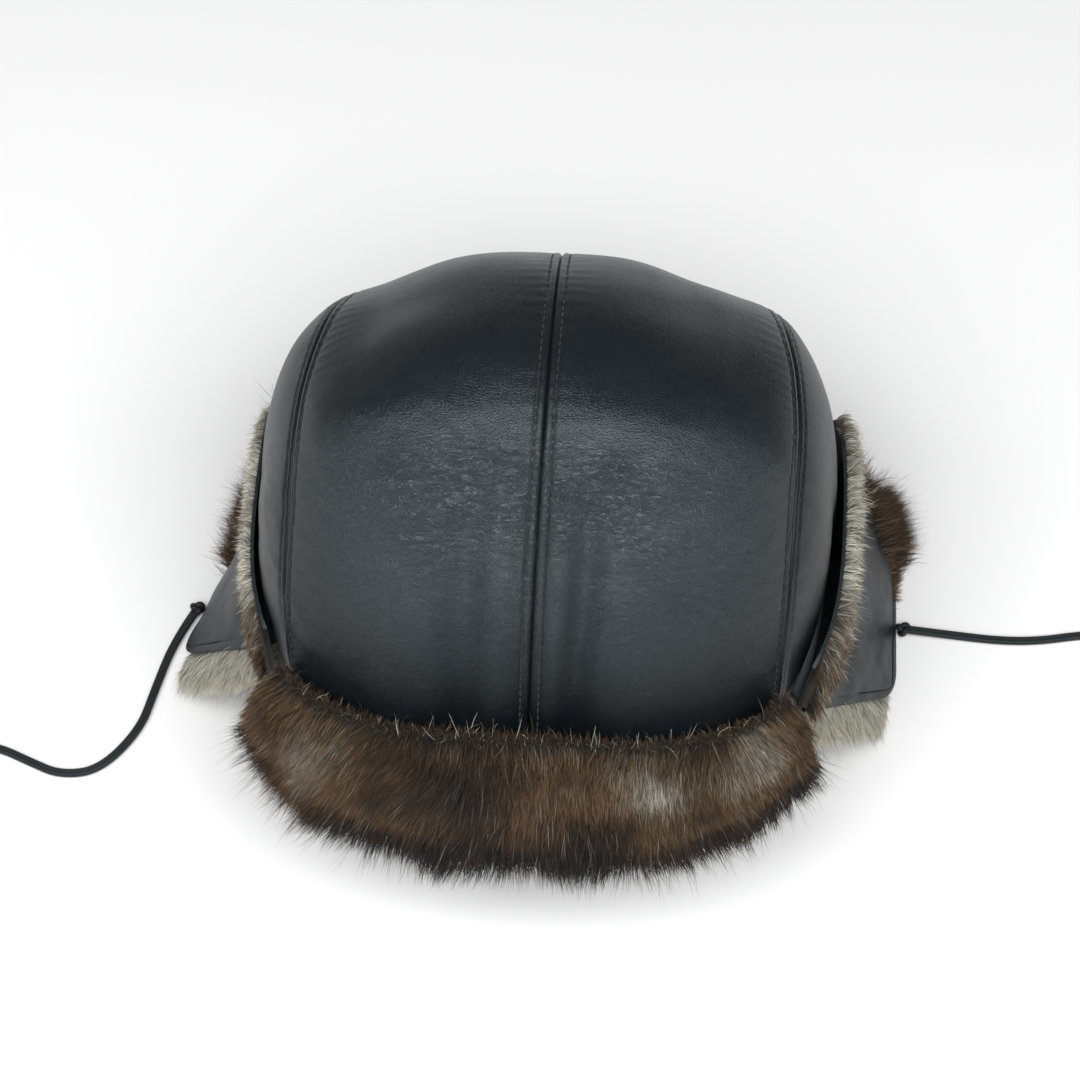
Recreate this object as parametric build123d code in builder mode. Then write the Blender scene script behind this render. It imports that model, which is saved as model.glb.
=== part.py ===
from build123d import *
import math
import os

# Trapper hat: a leather crown with a turned-up fur visor in front, a turned-up fur cuff round
# the sides and the nape, and two hanging ear flaps with tie cords.
#
# Millimetres. +Z is up, the wearer looks along -Y, and +X is to the right of someone who faces
# the front of the hat. The hat stands on the tips of its ear flaps, at Z = 0, and the origin is
# under the middle of its outline.

# ---- driving dimensions ----
CENTRE_X = 2.3  # the middle of the crown, from the origin
CENTRE_Y = 9.1
RIM = 66.0  # height of the head opening
WAIST = RIM + 26.0  # height at which the crown is widest
HALF_WIDTH = 104.0
HALF_LENGTH = 97.0  # also the crown's height above its waist
SQUARENESS = 2.8  # exponent of the crown's superellipses: 2 is an ellipse
LATERAL_SEAM_X = 88.0

LEATHER = 1.2
TAPE = 0.5
TAPE_WIDTH = 14.0
WADDING = 6.0
LINING = 1.8

OPENING_HALF_WIDTH = 91.0  # outside of the sweatband
OPENING_HALF_LENGTH = 81.0
SWEATBAND = 1.5
SWEATBAND_HEIGHT = 30.0
BINDING = 2.0
RIM_INSET_SIDES = 2.0  # from the crown's waist line to the binding's outside
RIM_INSET_ENDS = 5.0
LABEL_ENDS = (83.0, 97.0)  # angles from the X axis
LABEL_HEIGHT = 12.0
LABEL_UP = 8.0  # above the rim
LABEL_THICKNESS = 0.4
LABEL_GAP = 0.05

VISOR_ANGLE = 38.0  # of the visor's ends, from the X axis
VISOR_DROP = 8.0  # how far its fold hangs below the rim
VISOR_HEIGHT = 52.0  # above the rim, at the middle
VISOR_END_HEIGHT = 24.0
VISOR_BORDER = 3.0  # how much higher the fur stands than its stiffener
ARCH_REACH = 144.0  # half the width over which the visor's top edge arches
ARCH_FALL = 22.0  # from the visor's ends to the ends of that arch
VISOR_FUR_LOW = (10.0, 23.0)  # sideways and forwards
VISOR_FUR_HIGH = (7.0, 12.0)

CUFF_ANGLE = 31.0
CUFF_FORWARD = 18.0  # from there to the front edge of the side cuffs
SIDE_END = 25.0  # of the side cuffs' walls, before their rear edge is cut straight
NAPE_ANGLE = 32.0
CUFF_DROP = 4.0
CUFF_CORNER = 14.0
# lean: how much further out the top edge stands than the fold
# back: from the crown's middle to the rear edge of a side cuff
CUFFS = {
    "right": {"height": 34.0, "lean": 3.0, "fur_low": 5.0, "fur_high": 6.0, "back": 44.0},
    "left": {"height": 34.0, "lean": 0.5, "fur_low": 4.5, "fur_high": 4.5, "back": 36.0},
    "nape": {"height": 18.0, "lean": 0.5, "fur_low": 6.0, "fur_high": 3.5},
}

FLAP_TOP = RIM - 10.0
INTERLINING = 1.8
INTERLINING_INSET = 3.0  # from the leather's edges
FLAP_FUR_TOP = 6.0
FLAP_FUR_TIP = 11.0
FRONT_BORDER = 14.0  # how far the fur passes the leather's edges
REAR_BORDER = 10.0
TIP_FRONT_RADIUS = 9.0
TIP_REAR_RADIUS = 16.0
TOP_BORDER_SHARE = 0.8  # of the border's width, at the root
TIP_BULGE = 1.5
OVERCUT = 1.0  # how far a wall stands past the outline that trims it

CORD = 3.3  # width of a tie cord
CORD_LENGTH = 300.0
KNOT_RADIUS = 3.0
COIL_RADIUS = 17.5
COIL_BUNDLE = 7.6

STAND_OFF = 1.6  # from the crown's waist to the visor and the cuff

os.makedirs("parts", exist_ok=True)


def save(piece, name):
    piece.part.label = name
    export_step(piece.part, f"parts/{name}.step")


def level(z):
    """The horizontal plane at z, with its origin on the crown's middle line."""
    return Plane(origin=(CENTRE_X, CENTRE_Y, z))


def side_plane(x):
    """An upright plane seen from the hat's right, with its own X along +Y."""
    return Plane(origin=(CENTRE_X + x, CENTRE_Y, 0), x_dir=(0, 1, 0), z_dir=(1, 0, 0))


def superellipse(half_width, half_length, start, stop, count):
    """Points on a superellipse, at even angles in degrees."""
    points = []
    for i in range(count + 1):
        angle = math.radians(start + (stop - start) * i / count)
        across = abs(math.cos(angle)) / half_width
        along = abs(math.sin(angle)) / half_length
        reach = (across**SQUARENESS + along**SQUARENESS) ** (-1 / SQUARENESS)
        points.append((reach * math.cos(angle), reach * math.sin(angle)))
    return points


# ---- crown: shells of a superellipse turned about the left-right axis at the waist ----
def crown_half(outer_depth, inner_depth, turn):
    """Half of a layer of the crown, turned from the waist level by turn degrees."""
    with BuildPart() as half:
        with BuildSketch(level(WAIST)):
            with BuildLine():
                ends = []
                for depth in (outer_depth, inner_depth):
                    points = superellipse(HALF_WIDTH - depth, HALF_LENGTH - depth, 0, 180, 16)
                    points[0] = (HALF_WIDTH - depth, 0)
                    points[-1] = (depth - HALF_WIDTH, 0)
                    Spline(*points, tangents=[(0, 1), (0, -1)])
                    ends.append((points[0], points[-1]))
                Line(ends[0][0], ends[1][0])
                Line(ends[0][1], ends[1][1])
            make_face()
        revolve(axis=Axis((CENTRE_X, CENTRE_Y, WAIST), (1, 0, 0)), revolution_arc=turn)
    return half


def crown_shell(outer_depth, inner_depth):
    """The layer of the crown between two depths below its outside, cut off at the rim."""
    upper = crown_half(outer_depth, inner_depth, 180)
    with BuildPart() as lower:
        add(crown_half(outer_depth, inner_depth, -180))
        with BuildSketch(level(RIM)):
            Rectangle(3 * HALF_WIDTH, 3 * HALF_WIDTH)
        extrude(amount=2 * HALF_WIDTH, mode=Mode.INTERSECT)
    with BuildPart() as shell:
        add(upper)
        add(lower)
    return shell


def slice_of(shell, low_x, high_x):
    """The part of a crown layer between two upright planes."""
    reach = 2 * HALF_WIDTH
    with BuildPart() as piece:
        add(shell)
        with BuildSketch(level(0)):
            with Locations(((low_x + high_x) / 2, 0)):
                Rectangle(high_x - low_x, 2 * reach)
        extrude(amount=2 * reach, mode=Mode.INTERSECT)
    return piece


leather_shell = crown_shell(0, LEATHER).part
tape_shell = crown_shell(LEATHER, LEATHER + TAPE).part
wadding_depth = LEATHER + TAPE
lining_depth = wadding_depth + WADDING
wadding_shell = crown_shell(wadding_depth, lining_depth).part
lining_shell = crown_shell(lining_depth, lining_depth + LINING).part

SLICES = {
    "left_side": (-HALF_WIDTH - 1, -LATERAL_SEAM_X),
    "left_centre": (-LATERAL_SEAM_X, 0),
    "right_centre": (0, LATERAL_SEAM_X),
    "right_side": (LATERAL_SEAM_X, HALF_WIDTH + 1),
}
for place, (low, high) in SLICES.items():
    save(slice_of(leather_shell, low, high), f"crown_panel_{place}")

LINING_SLICES = {
    "left": (-HALF_WIDTH, -LATERAL_SEAM_X / 2),
    "centre": (-LATERAL_SEAM_X / 2, LATERAL_SEAM_X / 2),
    "right": (LATERAL_SEAM_X / 2, HALF_WIDTH),
}
for place, (low, high) in LINING_SLICES.items():
    save(slice_of(wadding_shell, low, high), f"crown_wadding_{place}")
    save(slice_of(lining_shell, low, high), f"crown_lining_{place}")

for place, seam_x in {"left": -LATERAL_SEAM_X, "centre": 0, "right": LATERAL_SEAM_X}.items():
    save(
        slice_of(tape_shell, seam_x - TAPE_WIDTH / 2, seam_x + TAPE_WIDTH / 2),
        f"seam_tape_{place}",
    )


# ---- head opening ----
def ring(low, high, outer, inner):
    """A band all round, between two (half width, half length) outlines."""
    with BuildPart() as band:
        with BuildSketch(level(low)):
            for outline, mode in ((outer, Mode.ADD), (inner, Mode.SUBTRACT)):
                with BuildLine():
                    Spline(*superellipse(*outline, 0, 360, 32)[:-1], periodic=True)
                make_face(mode=mode)
        extrude(amount=high - low)
    return band


def grown(outline, distance):
    """An outline enlarged by a distance, or by one sideways and another lengthways."""
    sideways, lengthways = distance if isinstance(distance, tuple) else (distance, distance)
    return (outline[0] + sideways, outline[1] + lengthways)


opening = (OPENING_HALF_WIDTH, OPENING_HALF_LENGTH)
opening_inside = grown(opening, -SWEATBAND)
rim_outside = (HALF_WIDTH - RIM_INSET_SIDES, HALF_LENGTH - RIM_INSET_ENDS)
save(ring(RIM, RIM + SWEATBAND_HEIGHT, opening, opening_inside), "sweatband")
save(ring(RIM - BINDING, RIM, rim_outside, opening_inside), "rim_binding")


# ---- visor and cuff: bands that stand outside the crown ----
def band(low, high, low_offsets, high_offsets, start, stop, view=None, corner_view=None):
    """A wall round part of the crown, between two pairs of distances from its waist line.

    view is its outline as seen from the front, and corner_view as seen from the side.
    """
    waist = (HALF_WIDTH, HALF_LENGTH)
    with BuildPart() as wall:
        for z, offsets in ((low, low_offsets), (high, high_offsets)):
            with BuildSketch(level(z)):
                with BuildLine():
                    curves = [
                        superellipse(*grown(waist, distance), start, stop, 12)
                        for distance in offsets
                    ]
                    for points in curves:
                        Spline(*points)
                    Line(curves[0][0], curves[1][0])
                    Line(curves[0][-1], curves[1][-1])
                make_face()
        loft(ruled=True)
        if view is not None:
            with BuildSketch(Plane.XZ):
                add(view)
            extrude(amount=3 * HALF_LENGTH, both=True, mode=Mode.INTERSECT)
        if corner_view is not None:
            with BuildSketch(Plane.YZ):
                add(corner_view)
            extrude(amount=3 * HALF_WIDTH, both=True, mode=Mode.INTERSECT)
    return wall


def arched(bottom, middle_height, end_height):
    """The outline of a wall that is highest in the middle, seen from the front."""
    arch_foot = RIM + end_height - ARCH_FALL
    left, right = CENTRE_X - ARCH_REACH, CENTRE_X + ARCH_REACH
    with BuildSketch() as outline:
        with BuildLine():
            ThreePointArc((left, arch_foot), (CENTRE_X, RIM + middle_height), (right, arch_foot))
            Polyline((right, arch_foot), (right, bottom), (left, bottom), (left, arch_foot))
        make_face()
    return outline.sketch


def rounded_corners(bottom, top, front_y, back_y):
    """The outline of a side cuff seen from the side, with its upper corners rounded."""
    with BuildSketch() as outline:
        with BuildLine():
            Polyline((front_y, bottom), (back_y, bottom), (back_y, top), (front_y, top), close=True)
        make_face()
        fillet(outline.vertices().group_by(Axis.Y)[-1], CUFF_CORNER)
    return outline.sketch


VISOR_LAYERS = {
    "visor_backing": (STAND_OFF, STAND_OFF + LEATHER),
    "visor_stiffener": (STAND_OFF + LEATHER, STAND_OFF + 2 * LEATHER),
}
visor_low = RIM - VISOR_DROP
visor_ends = (180 + VISOR_ANGLE, 360 - VISOR_ANGLE)
for name, offsets in VISOR_LAYERS.items():
    view = arched(visor_low + OVERCUT, VISOR_HEIGHT - VISOR_BORDER, VISOR_END_HEIGHT - VISOR_BORDER)
    save(band(visor_low, RIM + VISOR_HEIGHT, offsets, offsets, *visor_ends, view=view), name)

fur_inside = STAND_OFF + 2 * LEATHER
visor_fur = band(
    visor_low,
    RIM + VISOR_HEIGHT,
    (fur_inside, grown(VISOR_FUR_LOW, fur_inside)),
    (fur_inside, grown(VISOR_FUR_HIGH, fur_inside)),
    *visor_ends,
    view=arched(visor_low - OVERCUT, VISOR_HEIGHT, VISOR_END_HEIGHT),
)
save(visor_fur, "visor_fur")

cuff_low = RIM - CUFF_DROP
cuff_front_y = CENTRE_Y - HALF_LENGTH * math.sin(math.radians(CUFF_ANGLE)) - CUFF_FORWARD
CUFF_ENDS = {
    "right": (-CUFF_ANGLE, SIDE_END),
    "left": (180 - SIDE_END, 180 + CUFF_ANGLE),
    "nape": (NAPE_ANGLE, 180 - NAPE_ANGLE),
}


def cuff_layers(cuff):
    """The distances of a cuff's leather and fur from the crown, at the fold and at the top."""
    low = STAND_OFF + LEATHER
    high = low + cuff["lean"]
    return {
        "leather": ((STAND_OFF, low), (STAND_OFF + cuff["lean"], high)),
        "fur": ((low, low + cuff["fur_low"]), (high, high + cuff["fur_high"])),
    }


for place, cuff in CUFFS.items():
    cuff_high = RIM + cuff["height"]
    for layer, offsets in cuff_layers(cuff).items():
        if place == "nape":
            save(band(cuff_low, cuff_high, *offsets, *CUFF_ENDS[place]), f"nape_cuff_{layer}")
            continue
        cuff_back_y = CENTRE_Y + cuff["back"]
        corners = rounded_corners(cuff_low - OVERCUT, cuff_high, cuff_front_y, cuff_back_y)
        wall_top = cuff_high + OVERCUT
        wall = band(cuff_low, wall_top, *offsets, *CUFF_ENDS[place], corner_view=corners)
        save(wall, f"side_cuff_{layer}_{place}")

# ---- size label, on the sweatband at the nape ----
with BuildPart() as label:
    with BuildSketch(level(RIM + LABEL_UP)):
        with BuildLine():
            edges = [
                superellipse(*grown(opening_inside, -gap), *LABEL_ENDS, 4)
                for gap in (LABEL_GAP, LABEL_GAP + LABEL_THICKNESS)
            ]
            for points in edges:
                Spline(*points)
            Line(edges[0][0], edges[1][0])
            Line(edges[0][-1], edges[1][-1])
        make_face()
    extrude(amount=LABEL_HEIGHT)
save(label, "size_label")

# ---- ear flaps: where the root and the tip run, from the crown's middle ----
# Each side has the root's front, middle and rear, and the tip's front and rear, in plan.
FLAPS = {
    "right": {
        "outward": 1,
        "root": [(97, -58), (109, -4), (107, 48)],
        "tip": [(136, -24), (134, 40)],
    },
    "left": {
        "outward": -1,
        "root": [(-99, -46), (-109, 4), (-104, 58)],
        "tip": [(-140.4, -25.6), (-120, 22)],
    },
}


def along(a, b, share):
    return tuple(p + (q - p) * share for p, q in zip(a, b))


def beyond(a, b, distance):
    """The point past a on the line from b through a."""
    return along(a, b, -distance / math.dist(a, b))


def flap_edges(flap, front_border, rear_border):
    """The root and the tip of a flap in plan, lengthened at both ends by its borders."""
    front, middle, rear = flap["root"]
    tip_front, tip_rear = flap["tip"]
    tip_middle = along(tip_front, tip_rear, 0.5)
    root = [
        beyond(front, middle, front_border * TOP_BORDER_SHARE),
        middle,
        beyond(rear, middle, rear_border * TOP_BORDER_SHARE),
    ]
    tip = [
        beyond(tip_front, tip_rear, front_border),
        (tip_middle[0] + flap["outward"] * TIP_BULGE, tip_middle[1]),
        beyond(tip_rear, tip_front, rear_border),
    ]
    return root, tip


def flap_outline(root, tip):
    """A flap seen from the side, with both corners of its tip rounded."""
    with BuildSketch() as outline:
        with BuildLine():
            Polyline(
                (root[0][1], FLAP_TOP),
                (root[2][1], FLAP_TOP),
                (tip[2][1], 0),
                (tip[0][1], 0),
                close=True,
            )
        make_face()
        for corner, radius in ((0, TIP_FRONT_RADIUS), (-1, TIP_REAR_RADIUS)):
            tip_corners = outline.vertices().group_by(Axis.Y)[0].sort_by(Axis.X)
            fillet(tip_corners[corner], radius)
    return outline.sketch


def flap_layer(flap, depths_top, depths_tip, front_border, rear_border):
    """One layer of an ear flap, between two depths inwards from its outer face.

    All the layers follow the same curved surface, and each is trimmed to its own borders.
    """
    root, tip = flap_edges(flap, FRONT_BORDER + OVERCUT, REAR_BORDER + OVERCUT)
    with BuildPart() as layer:
        for z, edge, depths in ((FLAP_TOP, root, depths_top), (0, tip, depths_tip)):
            with BuildSketch(level(z)):
                with BuildLine():
                    rows = [[(x - flap["outward"] * depth, y) for x, y in edge] for depth in depths]
                    for row in rows:
                        ThreePointArc(*row)
                    Line(rows[0][0], rows[1][0])
                    Line(rows[0][2], rows[1][2])
                make_face()
        loft(ruled=True)
        with BuildSketch(side_plane(0)):
            add(flap_outline(*flap_edges(flap, front_border, rear_border)))
        extrude(amount=2 * HALF_WIDTH, both=True, mode=Mode.INTERSECT)
    return layer


def thick(first, last):
    return ((first, last), (first, last))


lined = LEATHER + INTERLINING
FLAP_LAYERS = {
    "leather": (*thick(0, LEATHER), 0, 0),
    "interlining": (*thick(LEATHER, lined), -INTERLINING_INSET, -INTERLINING_INSET),
    "fur": (
        (lined, lined + FLAP_FUR_TOP),
        (lined, lined + FLAP_FUR_TIP),
        FRONT_BORDER,
        REAR_BORDER,
    ),
}
for side, flap in FLAPS.items():
    for layer, sizes in FLAP_LAYERS.items():
        save(flap_layer(flap, *sizes), f"ear_flap_{layer}_{side}")

# ---- tie cords: laid on the table, with the last of each one wound up flat ----
# Each route starts in the knot at the flap's tip, and its last point lies in the coil. The
# end knot lies inside the coil's turns.
ROUTES = {
    "right": {
        "points": [
            (142.3, 13.0),
            (160.9, 12.3),
            (180.5, 11.1),
            (196.2, 12.2),
            (213.8, 16.2),
            (232.7, 17.0),
        ],
        "coil": (234.7, 34.5),
        "end_knot": (242.4, 32.4),
    },
    "left": {
        "points": [
            (-135.1, 2.6),
            (-142.5, -11.1),
            (-147.7, -33.0),
            (-151.3, -50.2),
            (-164.6, -68.0),
            (-179.6, -71.1),
            (-191.9, -66.5),
            (-204.3, -61.5),
            (-219.0, -60.0),
            (-235.8, -61.5),
        ],
        "coil": (-234.8, -44.0),
        "end_knot": (-233.7, -33.6),
    },
}
ARC_SHARE = 0.45  # of the shorter run that an arc may use


def bend_radii(points):
    """The radius of the arc at each inner point: as large as its two runs allow."""
    radii = []
    for before, here, after in zip(points, points[1:], points[2:]):
        turn = math.radians((here - before).get_angle(after - here))
        run = min((here - before).length, (after - here).length)
        radii.append(ARC_SHARE * run / math.tan(turn / 2))
    return radii


for side, route in ROUTES.items():
    knot = Vector(*route["points"][0], KNOT_RADIUS)
    points = [knot] + [Vector(x, y, CORD / 2) for x, y in route["points"][1:]]
    radii = bend_radii(points)
    with BuildPart() as cord:
        with BuildLine():
            path = FilletPolyline(*points, radius=radii)
        with BuildSketch(Plane(origin=points[0], z_dir=points[1] - points[0])):
            Circle(CORD / 2)
        sweep()
    save(cord, f"tie_cord_{side}")
    laid = path.length
    expected = math.pi * (CORD / 2) ** 2 * laid
    print(side, "cord radii", [round(radius, 1) for radius in radii])
    print(side, "laid", round(laid, 1), "wound", round(CORD_LENGTH - laid, 1))
    print(side, "volume", round(cord.part.volume, 1), "expected", round(expected, 1))

    with BuildPart() as start_knot:
        with Locations(knot):
            Sphere(KNOT_RADIUS)
    save(start_knot, f"tie_knot_{side}")

    with BuildPart() as coil:
        with BuildSketch(Plane(origin=(*route["coil"], 0))):
            Circle(COIL_RADIUS + COIL_BUNDLE / 2)
            Circle(COIL_RADIUS - COIL_BUNDLE / 2, mode=Mode.SUBTRACT)
        extrude(amount=CORD)
        fillet(coil.edges(), CORD / 3)
    save(coil, f"tie_coil_{side}")

    with BuildPart() as end_knot:
        with Locations((*route["end_knot"], KNOT_RADIUS)):
            Sphere(KNOT_RADIUS)
    save(end_knot, f"tie_end_knot_{side}")
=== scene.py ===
"""A leather trapper hat with a turned-up fur visor, fur cuffs and hanging ear flaps.

Shapes are worked out in millimetres, as numpy arrays, and go to Blender in metres.
"""

import math

import bpy
import numpy as np
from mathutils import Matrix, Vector
from mathutils.kdtree import KDTree


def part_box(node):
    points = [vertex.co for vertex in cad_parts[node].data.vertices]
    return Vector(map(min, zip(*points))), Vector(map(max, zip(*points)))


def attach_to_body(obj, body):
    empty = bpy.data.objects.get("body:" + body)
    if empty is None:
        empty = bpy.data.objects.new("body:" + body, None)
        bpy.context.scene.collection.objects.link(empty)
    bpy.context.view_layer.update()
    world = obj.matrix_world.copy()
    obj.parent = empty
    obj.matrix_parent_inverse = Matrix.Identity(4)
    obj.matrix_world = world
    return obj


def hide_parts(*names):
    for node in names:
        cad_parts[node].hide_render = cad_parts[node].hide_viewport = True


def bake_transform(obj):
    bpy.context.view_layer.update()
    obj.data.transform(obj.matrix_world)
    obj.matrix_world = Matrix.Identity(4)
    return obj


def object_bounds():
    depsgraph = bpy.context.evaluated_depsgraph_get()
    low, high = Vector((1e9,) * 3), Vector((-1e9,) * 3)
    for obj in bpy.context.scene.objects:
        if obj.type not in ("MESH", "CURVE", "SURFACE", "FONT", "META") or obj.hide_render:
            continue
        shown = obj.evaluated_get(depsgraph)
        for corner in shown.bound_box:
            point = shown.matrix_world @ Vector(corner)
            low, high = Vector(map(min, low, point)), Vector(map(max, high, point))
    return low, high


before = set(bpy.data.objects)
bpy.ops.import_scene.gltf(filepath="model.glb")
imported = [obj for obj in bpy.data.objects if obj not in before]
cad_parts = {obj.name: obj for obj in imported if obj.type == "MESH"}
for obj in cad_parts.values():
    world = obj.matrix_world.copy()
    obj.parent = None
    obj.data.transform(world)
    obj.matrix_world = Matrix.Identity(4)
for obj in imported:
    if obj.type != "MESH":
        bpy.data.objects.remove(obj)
cad_low, cad_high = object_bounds()

MM = 0.001
SIDES = {"right": 1, "left": -1}


def box_mm(node):
    """The lowest and the highest corner of a CAD node, in millimetres."""
    low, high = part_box(node)
    return np.array(low) / MM, np.array(high) / MM


# ---- sizes from the CAD model ----
band_low, band_high = box_mm("sweatband")
panel_low, panel_high = box_mm("crown_panel_right_centre")
RIM = band_low[2]
CENTRE = np.array([panel_low[0], (band_low[1] + band_high[1]) / 2, 0.0])
HALF_LENGTH = (panel_high[1] - panel_low[1]) / 2
WAIST = panel_high[2] - HALF_LENGTH
HALF_WIDTH = box_mm("crown_panel_right_side")[1][0] - CENTRE[0]
SEAM_X = panel_high[0] - CENTRE[0]
SQUARENESS = 2.8  # exponent of the crown's superellipses
LEATHER = 1.2


# ---- small mathematics ----
def smooth(low, high, value):
    """0 below low, 1 above high, and an even S between them."""
    share = np.clip((value - low) / (high - low), 0, 1)
    return share * share * (3 - 2 * share)


def bell(value, width):
    return np.exp(-((value / width) ** 2))


def unit(vectors):
    return vectors / np.maximum(np.linalg.norm(vectors, axis=-1, keepdims=True), 1e-9)


def slope(value, half):
    """One part of a superellipse's normal, where it reaches half along that axis."""
    return np.sign(value) * (np.abs(value) / half) ** (SQUARENESS - 1) / half


def circle(count):
    """Angles evenly spaced round a circle."""
    return np.linspace(0, 2 * math.pi, count, endpoint=False)


def waves(points, size, seed):
    """A smooth field from about -1 to 1, whose lumps are about this size in millimetres."""
    count = 14
    rng = np.random.default_rng(seed)
    directions = unit(rng.normal(size=(count, 3)))
    lengths = size * rng.uniform(1.3, 3.2, count)
    phases = rng.uniform(0, 2 * math.pi, count)
    angles = points @ (directions * (2 * math.pi / lengths)[:, None]).T + phases
    return np.sin(angles).sum(-1) * math.sqrt(0.8 / count)


# ---- meshes ----
def build_mesh(name, points, faces, material, uv=None):
    """A smooth mesh from points in millimetres and arrays of faces, one for each count of corners."""
    mesh = bpy.data.meshes.new(name)
    corners = np.concatenate([group.ravel() for group in faces]).astype(np.int32)
    totals = np.concatenate([np.full(len(group), group.shape[1]) for group in faces])
    starts = np.concatenate(([0], np.cumsum(totals)[:-1])).astype(np.int32)
    mesh.vertices.add(len(points))
    mesh.vertices.foreach_set("co", (points * MM).astype(np.float32).ravel())
    mesh.loops.add(len(corners))
    mesh.loops.foreach_set("vertex_index", corners)
    mesh.polygons.add(len(totals))
    mesh.polygons.foreach_set("loop_start", starts)
    mesh.update(calc_edges=True)
    mesh.polygons.foreach_set("use_smooth", np.full(len(totals), True))
    if uv is not None:
        layer = mesh.uv_layers.new(name=FUR_UV)
        layer.data.foreach_set("uv", uv[corners].astype(np.float32).ravel())
    mesh.materials.append(material)
    mesh.validate()
    piece = bpy.data.objects.new(name, mesh)
    bpy.context.scene.collection.objects.link(piece)
    return piece


def grid_faces(rows, columns, closed=False):
    """Quads over a grid of rows by columns of points, the columns joined in a ring if closed."""
    row, column = np.meshgrid(
        np.arange(rows - 1), np.arange(columns if closed else columns - 1), indexing="ij"
    )
    after = (column + 1) % columns
    corners = (
        row * columns + column,
        row * columns + after,
        (row + 1) * columns + after,
        (row + 1) * columns + column,
    )
    return np.stack(corners, -1).reshape(-1, 4)


def tube_caps(rings, sides):
    """The two end faces of a tube of that many rings."""
    cap = np.arange(sides)
    return np.stack((cap[::-1], cap + (rings - 1) * sides))


def grid_normals(grid):
    """A unit normal at each point of a grid."""
    down = np.gradient(grid, axis=0)
    across = np.gradient(grid, axis=1)
    return unit(np.cross(across, down))


def thick_sheet(name, grid, material, thickness, flip=False):
    """A sheet from its grid of points, with its thickness in millimetres behind them."""
    faces = grid_faces(*grid.shape[:2])
    if flip:
        faces = faces[:, ::-1]
    piece = build_mesh(name, grid.reshape(-1, 3), [faces], material)
    solid = piece.modifiers.new("thickness", "SOLIDIFY")
    solid.thickness = thickness * MM
    solid.offset = -1.0
    graph = bpy.context.evaluated_depsgraph_get()
    mesh = bpy.data.meshes.new_from_object(piece.evaluated_get(graph), depsgraph=graph)
    piece.modifiers.clear()
    piece.data = mesh
    return piece


def attach(piece, body, slot, *nodes):
    """Lets a piece ride on a body, in the place of these CAD nodes; slot is not used."""
    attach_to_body(piece, body)
    if nodes:
        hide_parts(*nodes)
    return piece


# ---- materials ----
FUR_UV = "OFBake"  # where each hair's colour lies: across from root to tip, up from dark to pale


class Shader:
    """A Principled material, with short calls for the nodes that feed it."""

    def __init__(self, name, **values):
        self.material = bpy.data.materials.new(name)
        self.material.use_nodes = True
        self.nodes = self.material.node_tree.nodes
        self.links = self.material.node_tree.links
        self.surface = self.nodes["Principled BSDF"]
        for socket, value in values.items():
            self.surface.inputs[socket.replace("_", " ")].default_value = value
        self.place = self.add("ShaderNodeTexCoord").outputs["Object"]

    def add(self, kind, inputs=None, **settings):
        node = self.nodes.new(kind)
        for setting, value in settings.items():
            setattr(node, setting, value)
        for socket, value in (inputs or {}).items():
            if isinstance(value, bpy.types.NodeSocket):
                self.links.new(value, node.inputs[socket])
            else:
                node.inputs[socket].default_value = value
        return node

    def noise(self, size, detail=4.0, roughness=0.55, place=None, distortion=0.0):
        """A noise whose features are about this size in millimetres."""
        inputs = {
            "Vector": place or self.place,
            "Scale": 1 / (size * MM),
            "Detail": detail,
            "Roughness": roughness,
            "Distortion": distortion,
        }
        return self.add("ShaderNodeTexNoise", inputs).outputs["Fac"]

    def cells(self, size):
        """The distance to the nearest edge between cells of about this size in millimetres."""
        inputs = {"Vector": self.place, "Scale": 1 / (size * MM)}
        node = self.add("ShaderNodeTexVoronoi", inputs, feature="DISTANCE_TO_EDGE")
        return node.outputs["Distance"]

    def ramp(self, value, stops):
        """A colour ramp from (place, colour or grey level) pairs."""
        node = self.add("ShaderNodeValToRGB", {"Fac": value})
        elements = node.color_ramp.elements
        while len(elements) < len(stops):
            elements.new(0.5)
        for element, (place, colour) in zip(elements, stops):
            element.position = place
            if not isinstance(colour, tuple):
                colour = (colour,) * 3
            element.color = (*colour, 1)
        return node.outputs["Color"]

    def mix(self, share, first, second, blend="MIX"):
        node = self.add("ShaderNodeMix", data_type="RGBA", blend_type=blend)
        for index, value in ((0, share), (6, first), (7, second)):
            if isinstance(value, bpy.types.NodeSocket):
                self.links.new(value, node.inputs[index])
            elif isinstance(value, tuple):
                node.inputs[index].default_value = (*value, 1)
            else:
                node.inputs[index].default_value = value
        return node.outputs[2]

    def maths(self, operation, first, second):
        return self.add("ShaderNodeMath", {0: first, 1: second}, operation=operation).outputs[0]

    def bump(self, height, depth, strength=1.0):
        """A bump as deep as depth millimetres, on top of any that is there."""
        inputs = {"Height": height, "Distance": depth * MM, "Strength": strength}
        node = self.add("ShaderNodeBump", inputs)
        normal = self.surface.inputs["Normal"]
        if normal.is_linked:
            self.links.new(normal.links[0].from_socket, node.inputs["Normal"])
        self.links.new(node.outputs["Normal"], normal)

    def feed(self, socket, value):
        self.links.new(value, self.surface.inputs[socket])


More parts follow.
